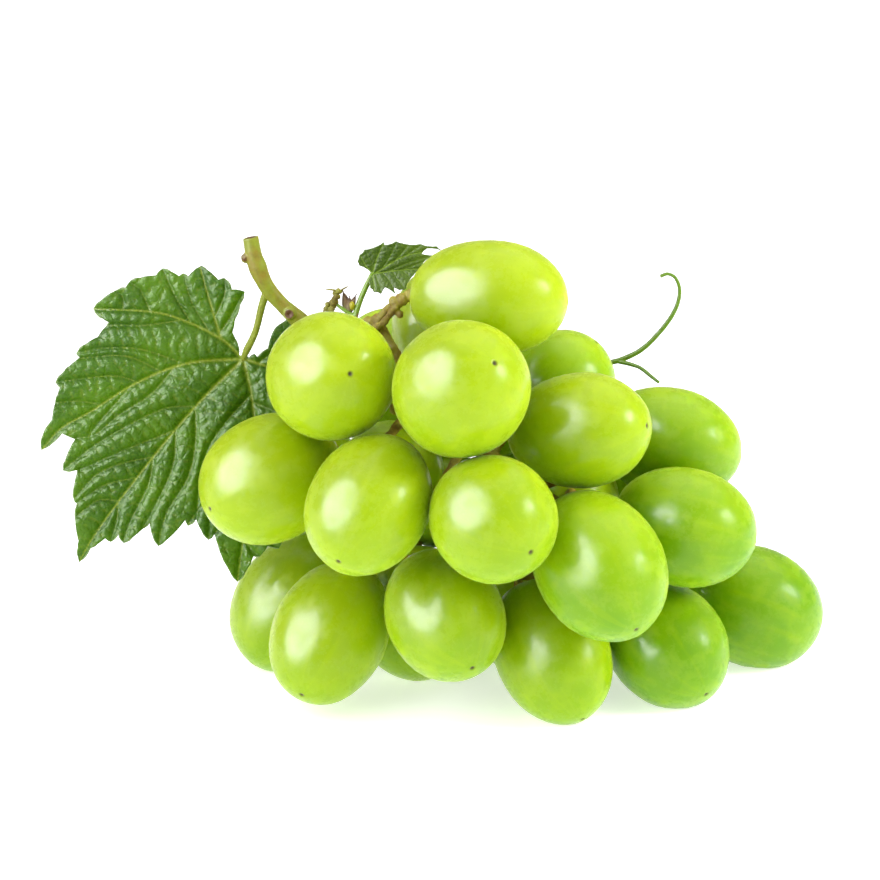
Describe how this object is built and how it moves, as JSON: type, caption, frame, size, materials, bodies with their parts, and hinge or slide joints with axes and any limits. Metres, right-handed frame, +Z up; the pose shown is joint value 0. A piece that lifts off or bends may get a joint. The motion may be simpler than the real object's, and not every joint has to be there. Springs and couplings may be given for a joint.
{
  "type": "bunch of grapes",
  "caption": "Bunch of white table grapes lying on a surface, with a piece of cane, a lobed leaf, a young side shoot and a curled tendril.",
  "frame": {"origin": "on the surface the bunch lies on, under the middle of its bounding box", "axes": "+X from the leaf and cane end towards the tip of the bunch, +Y from the front of the bunch to its back, +Z up"},
  "size_m": [0.1614, 0.1004, 0.0953],
  "materials": {
    "grape_skin": "thin waxy translucent skin with a pale bloom, yellow-green",
    "green_grape_skin": "thin waxy translucent skin with a pale bloom, greener",
    "stalk_bark": "dry gnarled green-brown stalk",
    "cane_bark": "smooth satin yellow-green bark with brown scars",
    "leaf": "quilted satin blade with pale veins",
    "leaf_stalk": "smooth satin green stalk",
    "young_leaf": "young folded blade, satin with fine veins",
    "young_shoot": "smooth bright green shoot",
    "withered_flowers": "dry crumbly flower remains",
    "bud_scales": "papery brown scales round a yellow bud",
    "tendril": "smooth springy green tendril"
  },
  "bodies": {
    "root": {"grape_01": "grape_skin", "grape_02": "grape_skin", "grape_03": "grape_skin", "grape_04": "grape_skin", "grape_05": "green_grape_skin", "grape_06": "grape_skin", "grape_07": "green_grape_skin", "grape_08": "grape_skin", "grape_09": "grape_skin", "grape_10": "grape_skin", "grape_11": "green_grape_skin", "grape_12": "green_grape_skin", "grape_13": "green_grape_skin", "grape_14": "green_grape_skin", "grape_15": "grape_skin", "grape_16": "grape_skin", "grape_17": "green_grape_skin", "grape_18": "green_grape_skin", "grape_19": "green_grape_skin", "grape_20": "green_grape_skin", "grape_21": "green_grape_skin", "grape_22": "green_grape_skin", "grape_23": "green_grape_skin", "grape_24": "green_grape_skin", "grape_25": "green_grape_skin", "grape_26": "grape_skin", "grape_27": "grape_skin", "grape_28": "grape_skin", "grape_29": "green_grape_skin", "grape_30": "green_grape_skin", "grape_31": "green_grape_skin", "grape_32": "green_grape_skin", "grape_33": "green_grape_skin", "grape_34": "green_grape_skin", "stalk": "stalk_bark", "cane": "cane_bark", "leaf_blade": "leaf", "leaf_stalk": "leaf_stalk", "small_leaf_blade": "young_leaf", "small_leaf_stalk": "young_shoot", "side_shoot": "young_shoot", "flower_cluster": "withered_flowers", "bud": "bud_scales", "tendril": "tendril"}
  },
  "joints": []
}
